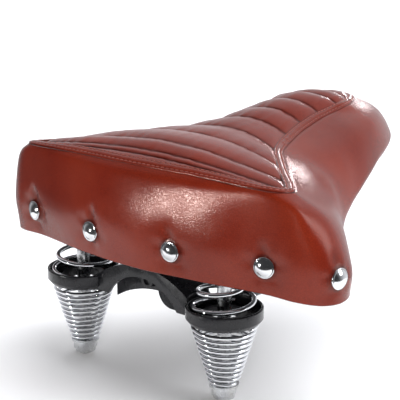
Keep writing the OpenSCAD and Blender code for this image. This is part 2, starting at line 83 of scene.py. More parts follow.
# ---------------------------------------------------------------- outlines
HEM = [
    (0, -18, 25), (45, -14, 25), (86, -6.5, 24.6), (106, -3, 23.4),
    (118, 5, 22), (122, 18, 21.6), (116, 33, 23.4), (95, 54, 29),
    (76, 82, 35.5), (65, 110, 43), (58, 137, 52), (51, 160, 60),
    (44, 182, 64), (33, 205, 66), (18, 219, 67), (0, 223, 67)]
BULGE = [
    (0, -20.5, 50), (45, -17, 50), (87, -9.5, 49), (107, -5.5, 47),
    (119.5, 4, 44), (123, 18, 39), (116, 34, 38), (95, 57, 41),
    (78, 84, 47), (68, 112, 54), (61.5, 138, 62), (54, 162, 69),
    (46, 183, 72), (34, 206, 73), (18.5, 220, 74), (0, 224, 74)]
SHOULDER = [
    (0, -17.2, 76), (45, -14.6, 76), (87, -10, 75), (104, -5.5, 72.5),
    (110, 4, 68.5), (111.5, 18, 65), (102, 38, 63.5), (84, 58, 67),
    (65, 83, 71), (56, 111, 77), (51, 139, 83), (45.5, 161, 87),
    (38, 181, 88), (27, 200, 88), (13.5, 212, 88), (0, 215, 88)]
SEAM = [
    (0, -12.4, 84.3), (45, -10.6, 84.1), (82, -9, 83.3), (94, -5, 82.4),
    (97, 4, 81), (92, 12, 80.8), (79, 26, 81.6), (61, 46, 82.6),
    (42.5, 70, 84), (31.5, 100, 87.6), (27, 126, 91.4), (26, 147, 94.2),
    (26.5, 160, 96.4), (21.5, 177, 96.8), (12, 191, 96.6), (0, 196, 96.4)]
CROWN_Y = [-12.4, -9, -4, 6, 20, 40, 60, 80, 102, 126, 148, 166, 180, 190, 196]
CROWN_Z = [84.3, 87, 90.2, 93, 94.5, 94, 92.8, 94, 97.2, 100.6, 102.4, 102.4, 100.6,
           98.8, 96.4]
# Rivets on the rider's right half: place and heading of the axis
RIVETS = [((31, -17.8, 39.5), -86), ((89, -8.4, 40), -77), ((122.8, 12.2, 35.9), -8)]


def closed(half):
    h = np.array(half, float)
    return np.vstack([h, h[-2:0:-1] * [-1, 1, 1]])


def catmull(p0, p1, p2, p3, t):
    return 0.5 * (2 * p1 + (p2 - p0) * t + (2 * p0 - 5 * p1 + 4 * p2 - p3) * t * t
                  + (3 * p1 - p0 - 3 * p2 + p3) * t ** 3)


def along(control, u):
    """Points of the closed curve through control at the parameters u."""
    n = len(control)
    u = np.asarray(u, float) % n
    i = np.floor(u).astype(int)
    t = (u - i)[:, None]
    return catmull(control[(i - 1) % n], control[i % n], control[(i + 1) % n],
                   control[(i + 2) % n], t)


RINGS = [closed(r) for r in (HEM, BULGE, SHOULDER, SEAM)]


def side(v, u):
    """The cover's side at height v (0 hem, 1 bulge, 2 shoulder, 3 seam)."""
    j = min(int(math.floor(v)), 2)
    t = v - j
    a, b = along(RINGS[j], u), along(RINGS[j + 1], u)
    before = 2 * a - b if j == 0 else along(RINGS[j - 1], u)
    after = 2 * b - a if j == 2 else along(RINGS[j + 2], u)
    return catmull(before, a, b, after, t)


def grid_normals(p, wrap=True):
    """Unit normals of a grid of points [rows, columns, 3], closed round its columns or not."""
    if wrap:
        du = np.roll(p, -1, 1) - np.roll(p, 1, 1)
    else:
        du = np.gradient(p, axis=1)
    dv = np.gradient(p, axis=0)
    n = np.cross(du, dv)
    return n / np.maximum(np.linalg.norm(n, axis=2, keepdims=True), 1e-9)


def even(control, count):
    """Parameters that divide a closed control curve into equal lengths."""
    u = np.linspace(0, len(control), len(control) * 40 + 1)
    p = along(control, u)
    s = np.concatenate([[0], np.cumsum(np.linalg.norm(np.diff(p, axis=0), axis=1))])
    return np.interp(np.linspace(0, s[-1], count, endpoint=False), s, u)


# ---------------------------------------------------------------- mesh tools
def make(name, points, faces, angle=None):
    """An object out of points in metres and faces, with its normals outwards."""
    mesh = bpy.data.meshes.new(name)
    mesh.from_pydata([tuple(p) for p in points], [], faces)
    mesh.update()
    obj = bpy.data.objects.new(name, mesh)
    scene.collection.objects.link(obj)
    bm = bmesh.new()
    bm.from_mesh(mesh)
    bmesh.ops.recalc_face_normals(bm, faces=bm.faces)
    bm.to_mesh(mesh)
    bm.free()
    mesh.shade_smooth()
    if angle:
        mesh.set_sharp_from_angle(angle=math.radians(angle))
    return obj


def tube_faces(rows, columns, closed_rows=False, start=0):
    """Quads between rows of a wrapped grid."""
    faces = []
    for r in range(rows if closed_rows else rows - 1):
        a, b = start + r * columns, start + ((r + 1) % rows) * columns
        for c in range(columns):
            d = (c + 1) % columns
            faces.append((a + c, a + d, b + d, b + c))
    return faces


def join(parts):
    """One list of points and faces out of several."""
    points, faces = [], []
    for p, f in parts:
        k = len(points)
        points.extend(p)
        faces.extend([tuple(i + k for i in g) for g in f])
    return points, faces


def lathe(profile, origin, axis, steps):
    """A profile of (radius, height) turned round axis through origin."""
    axis = Vector(axis).normalized()
    one = axis.orthogonal().normalized()
    two = axis.cross(one)
    points, faces = [], []
    origin = Vector(origin)
    for r, h in profile:
        for k in range(steps):
            a = 2 * math.pi * k / steps
            points.append(origin + axis * h + (one * math.cos(a) + two * math.sin(a)) * r)
    faces = tube_faces(len(profile), steps)
    for row, r in ((0, profile[0][0]), (len(profile) - 1, profile[-1][0])):
        if r > 1e-6:
            faces.append(tuple(row * steps + k for k in range(steps)))
    return points, faces


def attribute(obj, name, values):
    """Stores one value per vertex for the material to read."""
    a = obj.data.attributes.new(name, "FLOAT", "POINT")
    a.data.foreach_set("value", np.asarray(values, np.float32))


def soften(node, width):
    """A copy of a CAD node with its edges rounded to width, in place of the node."""
    name = node + "_body"
    mesh = nodes[node].data.copy()
    mesh.name = name
    obj = bpy.data.objects.new(name, mesh)
    scene.collection.objects.link(obj)
    bm = bmesh.new()
    bm.from_mesh(mesh)
    bmesh.ops.remove_doubles(bm, verts=bm.verts, dist=1e-6)
    bmesh.ops.dissolve_limit(bm, angle_limit=math.radians(0.5), verts=bm.verts,
                             edges=bm.edges)
    bm.to_mesh(mesh)
    bm.free()
    mesh.materials.clear()
    m = obj.modifiers.new("edges", "BEVEL")
    m.width = width
    m.segments = 3
    m.limit_method = "ANGLE"
    m.angle_limit = math.radians(30)
    bake(obj)
    obj.data.shade_smooth()
    obj.data.set_sharp_from_angle(angle=math.radians(35))
    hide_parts(node)
    return obj


def bake(obj):
    """Applies the modifiers of obj."""
    bpy.context.view_layer.update()
    graph = bpy.context.evaluated_depsgraph_get()
    mesh = bpy.data.meshes.new_from_object(obj.evaluated_get(graph))
    obj.modifiers.clear()
    obj.data = mesh


# ---------------------------------------------------------------- materials
class Shader:
    """A small builder for node materials."""

    def __init__(self, name):
        self.mat = bpy.data.materials.new(name)
        self.mat.use_nodes = True
        self.tree = self.mat.node_tree
        self.bsdf = self.tree.nodes["Principled BSDF"]
        self.coord = self.tree.nodes.new("ShaderNodeTexCoord").outputs["Object"]

    def node(self, kind, **inputs):
        """A node with its inputs set, where an underscore stands for a space."""
        n = self.tree.nodes.new(kind)
        for key, value in inputs.items():
            self.feed(n.inputs[key.replace("_", " ")], value)
        return n

    def feed(self, socket, value):
        if isinstance(value, bpy.types.NodeSocket):
            self.tree.links.new(value, socket)
        else:
            socket.default_value = value

    def noise(self, scale, detail=3.0, rough=0.5):
        return self.node("ShaderNodeTexNoise", Vector=self.coord, Scale=scale, Detail=detail,
                         Roughness=rough).outputs["Fac"]

    def cells(self, scale, feature="DISTANCE_TO_EDGE", coord=None):
        """Voronoi cells: the distance to their edges, or from their points."""
        n = self.node("ShaderNodeTexVoronoi", Vector=coord or self.coord, Scale=scale)
        n.feature = feature
        return n.outputs["Distance"]

    def ramp(self, fac, low, high, a=0.0, b=1.0):
        """fac from low to high, spread over a to b and clamped there."""
        n = self.node("ShaderNodeMapRange", Value=fac)
        n.inputs["From Min"].default_value = low
        n.inputs["From Max"].default_value = high
        n.inputs["To Min"].default_value = a
        n.inputs["To Max"].default_value = b
        return n.outputs["Result"]

    def mix(self, fac, a, b):
        n = self.tree.nodes.new("ShaderNodeMix")
        n.data_type = "RGBA"
        self.feed(n.inputs["Factor"], fac)
        self.feed(n.inputs[6], a)
        self.feed(n.inputs[7], b)
        return n.outputs[2]

    def math(self, op, a, b=0.0):
        n = self.tree.nodes.new("ShaderNodeMath")
        n.operation = op
        self.feed(n.inputs[0], a)
        self.feed(n.inputs[1], b)
        return n.outputs[0]

    def bump(self, height, strength, distance, under=None):
        """A normal bent by height, on top of the normal under."""
        n = self.node("ShaderNodeBump", Height=height, Strength=strength, Distance=distance)
        if under is not None:
            self.tree.links.new(under, n.inputs["Normal"])
        return n.outputs["Normal"]

    def attr(self, name):
        n = self.tree.nodes.new("ShaderNodeAttribute")
        n.attribute_name = name
        return n.outputs["Fac"]

    def set(self, **values):
        for key, value in values.items():
            self.feed(self.bsdf.inputs[key.replace("_", " ")], value)
        return self.mat


def rgb(r, g, b):
    return (r, g, b, 1.0)


def brighter(colour, share):
    return rgb(*[c * share for c in colour[:3]])


def leather_material(name, dark, mid, light, grain=1.0, rough=0.0):
    """Glossy dyed leather: a cloudy tone, pebbled grain, and painted shade in creases and
    hollows.
    """
    s = Shader(name)
    tone = s.ramp(s.noise(28, 4, 0.55), 0.3, 0.7)
    patch = s.ramp(s.noise(9, 2, 0.5), 0.35, 0.65)
    colour = s.mix(tone, mid, light)
    colour = s.mix(s.math("MULTIPLY", patch, 0.35), colour, dark)
    speck = s.ramp(s.noise(1500, 2, 0.6), 0.42, 0.62)
    colour = s.mix(s.math("MULTIPLY", speck, 0.16), colour, light)
    # Painted shade: darkened by the per-vertex attribute that marks creases, channels, rivet
    # hollows and undersides
    colour = s.mix(s.math("MULTIPLY", s.attr("painted_shade"), 0.85), colour, dark)
    # The grain's cells are shaken so that none is a straight-sided polygon
    warp = s.tree.nodes.new("ShaderNodeVectorMath")
    warp.operation = "ADD"
    s.tree.links.new(s.coord, warp.inputs[0])
    shake = s.node("ShaderNodeTexNoise", Vector=s.coord, Scale=420.0, Detail=1.0)
    scaled = s.tree.nodes.new("ShaderNodeVectorMath")
    scaled.operation = "SCALE"
    s.tree.links.new(shake.outputs["Color"], scaled.inputs[0])
    scaled.inputs["Scale"].default_value = 0.0011
    s.tree.links.new(scaled.outputs[0], warp.inputs[1])
    pebble = s.ramp(s.cells(800, coord=warp.outputs[0]), 0.0, 0.28)
    fine = s.noise(2600, 2, 0.6)
    height = s.math("ADD", pebble, s.math("MULTIPLY", fine, 0.35))
    colour = s.mix(s.math("MULTIPLY", s.ramp(pebble, 0.6, 0.0), 0.25), colour, dark)
    broad = s.bump(s.noise(160, 3, 0.5), 0.05, 0.0006)
    normal = s.bump(height, 0.13 * grain, 0.00022, broad)
    roughness = s.math("ADD", s.ramp(s.noise(55, 3), 0.3, 0.7, 0.20, 0.27), rough)
    return s.set(Base_Color=colour, Roughness=roughness, Normal=normal, Coat_Weight=0.0,
                 Specular_IOR_Level=0.42,
                 Specular_Tint=rgb(1.0, 0.72, 0.64))


def paint_material(name, base, rough):
    """Stoved enamel with a little orange peel."""
    s = Shader(name)
    peel = s.bump(s.noise(320, 2, 0.4), 0.12, 0.0003)
    colour = s.mix(s.ramp(s.noise(60, 3), 0.4, 0.7), base, brighter(base, 1.8))
    roughness = s.ramp(s.noise(120, 4, 0.6), 0.3, 0.7, rough, rough + 0.12)
    return s.set(Base_Color=colour, Roughness=roughness, Normal=peel, Coat_Weight=0.1,
                 Coat_Roughness=0.12, Specular_IOR_Level=0.35)


def metal_material(name, base, rough, brushed=0.0, tint=None):
    """Plated metal, clouded between base and tint."""
    s = Shader(name)
    colour = s.mix(s.ramp(s.noise(90, 3), 0.35, 0.7), base, tint or base)
    roughness = s.ramp(s.noise(400, 4, 0.65), 0.3, 0.75, rough, rough + 0.10)
    normal = s.bump(s.noise(900, 3, 0.6), 0.05 + brushed, 0.0001)
    return s.set(Base_Color=colour, Metallic=1.0, Roughness=roughness, Normal=normal)


def plastic_material(name, base, rough, scale, strength):
    """Moulded plastic or thread, with a texture of the given scale and strength."""
    s = Shader(name)
    colour = s.mix(s.ramp(s.noise(40, 3), 0.3, 0.7), base, brighter(base, 1.35))
    normal = s.bump(s.noise(scale, 3, 0.6), strength, 0.0002)
    roughness = s.ramp(s.noise(200, 3), 0.3, 0.7, rough, rough + 0.1)
    return s.set(Base_Color=colour, Roughness=roughness, Normal=normal)


def foam_material():
    """Open-pored foam."""
    s = Shader("foam")
    pores = s.ramp(s.cells(900, "F1"), 0.0, 0.6)
    colour = s.mix(pores, rgb(0.42, 0.33, 0.17), rgb(0.66, 0.57, 0.36))
    return s.set(Base_Color=colour, Roughness=0.95, Normal=s.bump(pores, 0.6, 0.0005))


DARK = rgb(0.030, 0.003, 0.002)
MID = rgb(0.145, 0.0115, 0.004)
LIGHT = rgb(0.190, 0.019, 0.006)
skin = leather_material("leather", DARK, MID, LIGHT)
quilt_skin = leather_material("leather_quilt", DARK, rgb(0.135, 0.0115, 0.005),
                              rgb(0.18, 0.019, 0.008), 0.8)
band_skin = leather_material("leather_band", DARK, rgb(0.135, 0.012, 0.005),
                             rgb(0.18, 0.02, 0.008), 0.6, -0.04)
enamel = paint_material("black_enamel", rgb(0.004, 0.004, 0.005), 0.20)
chrome = metal_material("chrome", rgb(0.80, 0.81, 0.83), 0.05)
rivet_chrome = metal_material("rivet_chrome", rgb(0.70, 0.71, 0.72), 0.09)
zinc = metal_material("zinc_plate", rgb(0.62, 0.63, 0.65), 0.22, 0.05, rgb(0.70, 0.70, 0.69))
pan_plastic = plastic_material("pan_plastic", rgb(0.022, 0.022, 0.025), 0.5, 700, 0.3)
nylon = plastic_material("nylon", rgb(0.012, 0.012, 0.013), 0.34, 500, 0.1)
foam = foam_material()
thread = plastic_material("thread", rgb(0.20, 0.045, 0.03), 0.6, 3000, 0.4)


def dress(obj, material, body=None):
    """Gives obj its material and the body that it rides on."""
    obj.data.materials.clear()
    obj.data.materials.append(material)
    if body:
        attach(obj, body)
    return obj


# ---------------------------------------------------------------- leather skirt
def bell(d, width):
    """1 where d is 0, fading over width."""
    return np.exp(-(d / width) ** 2)


def rivet_frames():
    """Centre, axis and across direction of each rivet, in millimetres."""
    for (x, y, z), heading in RIVETS:
        a = math.radians(heading)
        for s in (1, -1):
            yield (np.array([s * x, y, z]), np.array([s * math.cos(a), math.sin(a), 0]),
                   np.array([-s * math.sin(a), math.cos(a), 0]), s)


def ripple(p, scale, seed):
    """Smooth noise at points p in millimetres, about -1 to 1."""
    return np.array([noise.noise(Vector((q[0] * scale + seed, q[1] * scale, q[2] * scale)))
                     for q in p.reshape(-1, 3)]).reshape(p.shape[:-1])


SKIRT_COLUMNS = 420
SKIRT_THICK = 2.6
RIVET_SEAT_R = 7.4
SEAT_DEPTH = 1.3
TUCK_START = 2.90
TUCK_DEPTH = 0.9
HEM_STEPS = 8


def build_skirt():
    """The cover's side, pulled in by its rivets, with a rounded hem and an inner face."""
    columns = SKIRT_COLUMNS
    u = even(RINGS[1], columns)
    heights = np.concatenate([np.linspace(0, 0.12, 5)[:-1], np.linspace(0.12, 2.75, 64),
                              np.linspace(2.75, 3, 7)[1:]])
    p = np.array([side(v, u) for v in heights])
    n = grid_normals(p)
    painted_shade = np.zeros(p.shape[:2])
    # Slow waves of hand-stretched leather, stronger towards the hem
    fade = np.clip(1.6 - heights / 2.4, 0.2, 1)[:, None]
    p = p + n * (ripple(p, 0.022, 3.0) * 0.9 * fade + ripple(p, 0.06, 9.0) * 0.22)[..., None]
    # The rivets pull the leather in
    for centre, axis, across, s in rivet_frames():
        d = p - centre
        near = np.linalg.norm(d, axis=2)
        out = d @ axis
        seat = bell(near, 9.5)
        flat = np.clip((RIVET_SEAT_R - near) / 1.6, 0, 1)
        shift = -seat * SEAT_DEPTH
        shift = shift * (1 - flat) + flat * (-out - 0.15)
        dx, dz = d @ across, d[..., 2]
        spokes = 0.22 * np.cos(5 * np.arctan2(dz, dx) + s) * bell(near - 9, 3.6)
        # A fold rises from each rivet, deepest on the rider's left of the tail
        rear = abs(axis[1]) > 0.5
        strength = (1.5 if s < 0 else 0.55) if rear else 0.5
        fold = strength * bell(dx + 0.10 * dz, 3.0) * bell(dz - 10.5, 5.0) * (dz > 3)
        shift = np.where(near < 40, shift + spokes - fold, 0)
        p = p + axis * shift[..., None]
        # Painted shade in the hollow round each rivet and along its fold
        painted_shade = np.maximum(painted_shade, 0.75 * bell(near - 6.4, 1.1) + 0.35 * bell(near, 11))
        painted_shade = np.maximum(painted_shade, 0.5 * fold / max(strength, 0.1))
    # The top edge tucks under the seam band
    tuck = np.clip((heights - TUCK_START) / (3 - TUCK_START), 0, 1)[:, None]
    n = grid_normals(p)
    outer = p - n * (TUCK_DEPTH * tuck)[..., None]
    # Painted shade where the top edge goes under the seam band
    painted_shade = np.maximum(painted_shade, 0.6 * bell(heights[:, None] - 3.0, 0.05))
    # The hem's cut edge is rounded, and the inner face follows at a leather's thickness
    thick = SKIRT_THICK
    n = grid_normals(outer)
    down = np.array([0, 0, -1.0])
    edge = []
    for k in range(1, HEM_STEPS):
        a = math.pi * k / HEM_STEPS
        edge.append(outer[0] - n[0] * (thick / 2 * (1 - math.cos(a)))
                    + down * (0.75 * math.sin(a)))
    inner = outer - n * np.interp(heights, [0, 2.6, 3], [thick, 1.6, 0.9])[:, None, None]
    rows = np.array(list(inner[::-1]) + edge[::-1] + list(outer))
    # Painted shade: the inner face and the hem's cut edge half dark, the outer face by its marks
    # above
    shade = np.concatenate([np.full((len(inner), columns), 0.5),
                            np.full((len(edge), columns), 0.55), painted_shade])
    faces = tube_faces(len(rows), columns, True)
    obj = make("leather_skirt_skin", place(rows.reshape(-1, 3)), faces)
    attribute(obj, "painted_shade", shade.reshape(-1))
    return obj


# ---------------------------------------------------------------- quilted top
# Lines between the ribs, from the tail to the nose: where the line's middle lies on
# Y, the place on the seam's outline where it ends, and how late it bends. The first
# and the last are the seam itself.
LINES = [
    (-12.4, 2.35, 1.6), (-5.5, 3.05, 4), (-0.5, 3.95, 5), (14, 5.55, 7), (41.5, 6.5, 2.2),
    (69, 7.75, 2), (92, 8.75, 2), (114, 9.55, 2), (137, 10.45, 2), (160, 11.75, 2),
    (178, 12.9, 2), (195.4, 14.25, 2)]
PER_RIB = 16
ACROSS = 121
CROWDING = 0.09
CROWN_SHAPE = 1.9


def top_patch(drop):
    """Rows of points across the top, with each row's place within its rib."""
    s = np.linspace(-1, 1, ACROSS)
    s = np.sign(s) * (1 - (1 - np.abs(s)) ** 1.25)
    size = np.abs(s)
    table = np.array(LINES)
    rows, phase, rib = [], [], []
    for i in range(len(LINES) - 1):
        last = i == len(LINES) - 2
        for k in range(PER_RIB + (1 if last else 0)):
            t = k / PER_RIB
            # Channels are narrow, so samples crowd towards them
            t = t - CROWDING * math.sin(2 * math.pi * t)
            y, u, e = table[i] * (1 - t) + table[i + 1] * t
            end = along(RINGS[3], [u])[0]
            mid_z = np.interp(y, CROWN_Y, smooth_crown)
            x = s * end[0]
            yy = y + (end[1] - y) * size ** e
            z = end[2] + (mid_z - end[2]) * (1 - size ** CROWN_SHAPE)
            rows.append(np.stack([x, yy, z], 1))
            phase.append(t)
            rib.append(i)
    p = np.array(rows)
    n = upward(grid_normals(p, False))
    return p - n * drop, n, np.array(phase), np.array(rib), s


def upward(n):
    """Normals turned over where they point down."""
    return n * np.sign(n[..., 2:3])


def smoothed(values, places):
    """The crown's heights, eased so that its slope has no corners."""
    fine = np.linspace(places[0], places[-1], 400)
    z = np.interp(fine, places, values)
    padded = np.concatenate([np.full(HALF_WINDOW, z[0]), z, np.full(HALF_WINDOW, z[-1])])
    z = np.convolve(padded, WINDOW, "valid")
    z[0], z[-1] = values[0], values[-1]
    return np.interp(places, fine, z)


# Running mean that eases corners
HALF_WINDOW = 12
WINDOW = np.ones(2 * HALF_WINDOW + 1) / (2 * HALF_WINDOW + 1)
smooth_crown = smoothed(CROWN_Z, CROWN_Y)
QUILT_DROP = 1.5
QUILT_THICK = 2.4
CHANNEL = 0.02


def build_quilt():
    """The padded top: ribs puffed up between sewn channels, on a pinned underside."""
    p, n, phase, rib, s = top_patch(QUILT_DROP)
    rows, columns = p.shape[:2]
    # Each rib's width, and its height by the distance from its channels and the seam
    width = np.array([LINES[i + 1][0] - LINES[i][0] for i in rib])
    puff = np.sin(math.pi * np.clip(phase, 0, 1)) ** 0.62
    full = np.interp(width, [5, 9, 16, 24], [1.2, 2.0, 3.0, 3.6])
    edge = np.clip(((1 - np.abs(s))[None, :] * np.abs(p[:, -1:, 0]) - 3.5) / 6, 0, 1) ** 0.5
    lift = (puff * full)[:, None] * edge
    start = p + n * (lift * 0.7)[..., None]
    # The underside is a copy a little below, joined round the edge
    low = p - n * QUILT_THICK
    top_points = start.reshape(-1, 3)
    low_points = low.reshape(-1, 3)
    count = rows * columns
    faces = []
    for r in range(rows - 1):
        for c in range(columns - 1):
            a = r * columns + c
            faces.append((a, a + 1, a + columns + 1, a + columns))
            faces.append((count + a, count + a + columns, count + a + columns + 1,
                          count + a + 1))
    rim = (list(range(columns)) + [r * columns + columns - 1 for r in range(1, rows)]
           + [(rows - 1) * columns + c for c in range(columns - 2, -1, -1)]
           + [r * columns for r in range(rows - 2, 0, -1)])
    for a, b in zip(rim, rim[1:] + rim[:1]):
        faces.append((b, a, count + a, count + b))
    obj = make("quilted_top", place(np.vstack([top_points, low_points])), faces)
    # Pins: the underside, the edge and the sewn lines
    pin = np.zeros((rows, columns), bool)
    pin[phase < CHANNEL] = True
    pin[-1] = True
    pin[:, :2] = True
    pin[:, -2:] = True
    held = [int(k) for k in np.nonzero(pin.reshape(-1))[0]] + list(range(count, 2 * count))
    inflate(obj, held, pressure=4.0, cap=0.0042)
    co = np.array([v.co for v in obj.data.vertices])
    # Fine wrinkles run across the ribs close to the channels and the seam
    skin_part = co[:count].reshape(rows, columns, 3)
    mm = skin_part * 1000
    to_channel = np.minimum(phase, 1 - phase) * np.maximum(width, 6)
    near = bell(to_channel, 3.2)[:, None]
    wave = ripple(mm * [1, 0.35, 0.4], 0.22, 5.0) * 0.34 * (0.35 + near)
    wave += ripple(mm, 0.05, 2.0) * 0.35
    wave *= np.clip(lift / 0.8, 0, 1)
    skin_part = skin_part + upward(grid_normals(skin_part, False)) * wave[..., None] / 1000
    co[:count] = skin_part.reshape(-1, 3)
    obj.data.vertices.foreach_set("co", co.reshape(-1))
    obj.data.update()
    # Painted shade in the sewn channels; the underside half dark
    groove = bell(to_channel, 1.0)[:, None] * np.ones(columns)
    shade = np.concatenate([groove.reshape(-1), np.full(count, 0.5)])
    attribute(obj, "painted_shade", shade)
    return obj


CLOTH_FRAMES = 20


def inflate(obj, held, pressure, cap):
    """Blows obj up as cloth, with the held vertices pinned, and keeps the result."""
    rest = np.array([v.co for v in obj.data.vertices])
    group = obj.vertex_groups.new(name="pin")
    group.add(held, 1.0, "REPLACE")
    m = obj.modifiers.new("cloth", "CLOTH")
    m.settings.vertex_group_mass = "pin"
    m.settings.pin_stiffness = 1.0
    m.settings.quality = 6
    m.settings.mass = 0.3
    m.settings.tension_stiffness = 15
    m.settings.compression_stiffness = 10
    m.settings.shear_stiffness = 6
    m.settings.bending_stiffness = 0.6
    m.settings.use_pressure = True
    m.settings.uniform_pressure_force = pressure
    m.settings.effector_weights.gravity = 0
    m.point_cache.frame_start = 1
    m.point_cache.frame_end = CLOTH_FRAMES
    for f in range(1, CLOTH_FRAMES + 1):
        scene.frame_set(f)
    graph = bpy.context.evaluated_depsgraph_get()
    moved = obj.evaluated_get(graph)
    co = np.array([v.co for v in moved.data.vertices])
    obj.modifiers.clear()
    obj.vertex_groups.clear()
    scene.frame_set(1)
    shift = co - rest
    size = np.linalg.norm(shift, axis=1, keepdims=True)
    shift = shift * np.minimum(1, cap / np.maximum(size, 1e-9))
    obj.data.vertices.foreach_set("co", (rest + shift).reshape(-1))
    obj.data.update()


# ---------------------------------------------------------------- seam band
# How far inwards the top's slope beside the seam is read
PROBE = 5


def seam_frames(count):
    """Points round the seam, with directions inwards over the top and outwards from it."""
    u = even(RINGS[3], count)
    edge = along(RINGS[3], u)
    t = np.roll(edge, -1, 0) - np.roll(edge, 1, 0)
    t /= np.linalg.norm(t, axis=1, keepdims=True)
    flat = np.stack([-t[:, 1], t[:, 0], np.zeros(count)], 1)
    flat /= np.linalg.norm(flat, axis=1, keepdims=True)
    patch = top_patch(0)[0].reshape(-1, 3)
    tree = KDTree(len(patch))
    for i, q in enumerate(patch):
        tree.insert((q[0], q[1], 0), i)
    tree.balance()
    inner = edge + flat * PROBE
    rise = np.array([np.mean([patch[i][2] for _, i, _ in tree.find_n((q[0], q[1], 0), 4)])
                     for q in inner]) - edge[:, 2]
    rise = np.convolve(np.concatenate([rise[-HALF_WINDOW:], rise, rise[:HALF_WINDOW]]),
                       WINDOW, "valid")
    d = flat * PROBE
    d[:, 2] = rise
    d /= np.linalg.norm(d, axis=1, keepdims=True)
    return edge, d, upward(np.cross(t, d))


# The band's section: distance inwards over the top, and height
BAND = [(-1.1, -1.3), (-0.95, -0.5), (-0.6, 0.05), (-0.1, 0.42), (0.35, 0.34), (0.6, 0.14),
        (0.85, 0.36), (1.5, 0.62), (2.3, 0.70), (3.1, 0.60), (3.7, 0.32), (3.95, 0.08),
        (4.2, 0.26), (4.6, 0.22), (5.0, -0.10), (5.25, -0.6), (5.3, -1.4), (2.0, -2.0)]
STITCH_ROWS = (0.6, 3.95)
BAND_SHIFT = 0.3


def build_band():
    """The piped band over the seam, with a groove for each row of stitches."""
    count = 720
    edge, d, n = seam_frames(count)
    wave = ripple(edge, 0.35, 1.0)[:, None]
    slow = ripple(edge, 0.08, 7.0)[:, None]
    rows = []
    for w, h in BAND:
        lift = h + (0.16 * wave if h > 0 else 0)
        rows.append(edge + d * (w - BAND_SHIFT + 0.2 * slow) + n * lift)
    rows = np.array(rows)
    obj = make("seam_band", place(rows.reshape(-1, 3)), tube_faces(len(rows), count, True))
    # Painted shade under the band's edges and in the stitch grooves
    low = [0.9 if h < 0 else (0.8 if w in STITCH_ROWS else 0.05) for w, h in BAND]
    attribute(obj, "painted_shade", np.repeat(low, count))
    return obj


STITCH_PITCH = 3.4
# A stitch along its length: place and radius
STITCH = [(-1.25, 0.05), (-1.15, 0.19), (-0.7, 0.27), (0, 0.29), (0.7, 0.27), (1.15, 0.19),
          (1.25, 0.05)]
STITCH_SIDES = 6


def build_stitches():
    """Two rows of slanting stitches in the band's grooves."""
    count = 2400
    edge, d, n = seam_frames(count)
    length = np.linalg.norm(np.roll(edge, -1, 0) - edge, axis=1)
    s = np.concatenate([[0], np.cumsum(length)[:-1]])
    total = length.sum()
    parts = []
    pitch = total / round(total / STITCH_PITCH)
    for row, w in enumerate(STITCH_ROWS):
        for k in range(int(round(total / pitch))):
            centre = (k + 0.5 * row) * pitch % total
            ring = []
            for a, r in STITCH:
                i = int(np.searchsorted(s, (centre + a) % total)) % count
                lean = 0.10 * a
                h = 0.30 - 0.16 * a * a
                mid = edge[i] + d[i] * (w - BAND_SHIFT + lean) + n[i] * h
                for q in range(STITCH_SIDES):
                    g = 2 * math.pi * q / STITCH_SIDES
                    ring.append(mid + d[i] * r * math.cos(g) + n[i] * r * math.sin(g))
            faces = tube_faces(len(STITCH), STITCH_SIDES)
            faces += [tuple(range(STITCH_SIDES)),
                      tuple(range(len(ring) - STITCH_SIDES, len(ring)))]
            parts.append((ring, faces))
    points, faces = join(parts)
    return make("seam_stitches", place(points), faces)


# ---------------------------------------------------------------- metal pieces
def coil(wire_r, z0, z1, turns, profile, heading, side_x):
    """A smooth coil round a bolt, with rounded ends, in metres."""
    per_turn, around = 40, 14
    steps = int(round(turns * per_turn))
    heights, radii = np.array(profile).T
    # The profile's corners are eased, as wire bends in curves
    fine = np.linspace(heights[0] - 6, heights[-1] + 6, 300)
    eased = np.convolve(np.interp(fine, heights, radii), np.ones(21) / 21, "same")
    eased[:11], eased[-11:] = radii[0], radii[-1]
    points = []

    def centre(t):
        a = math.radians(heading) + 2 * math.pi * turns * t
        z = z0 + (z1 - z0) * t
        r = np.interp(z, fine, eased)
        return np.array([r * math.cos(a), r * math.sin(a), z])

    stations = [(0, 0.25), (0, 0.75)] + [(i / steps, 1.0) for i in range(steps + 1)]
    stations += [(1, 0.75), (1, 0.25)]
    for k, (t, share) in enumerate(stations):
        c = centre(t)
        ahead = centre(min(t + 1e-4, 1)) - centre(max(t - 1e-4, 0))
        ahead /= np.linalg.norm(ahead)
        out = np.array([c[0], c[1], 0]) / math.hypot(c[0], c[1])
        up = np.cross(ahead, out)
        up /= np.linalg.norm(up)
        out = np.cross(up, ahead)
        cap = {0: -0.45, 1: -0.3, len(stations) - 2: 0.3, len(stations) - 1: 0.45}.get(k, 0)
        for j in range(around):
            g = 2 * math.pi * j / around
            points.append(c + ahead * wire_r * cap
                          + (out * math.cos(g) + up * math.sin(g)) * wire_r * share)
    faces = tube_faces(len(stations), around)
    faces += [tuple(range(around)),
              tuple(range((len(stations) - 1) * around, len(stations) * around))]
    p = np.array(points)
    p[:, 0] = p[:, 0] * side_x + side_x * bolt_x * 1000
    return make("coil", place(p), faces)


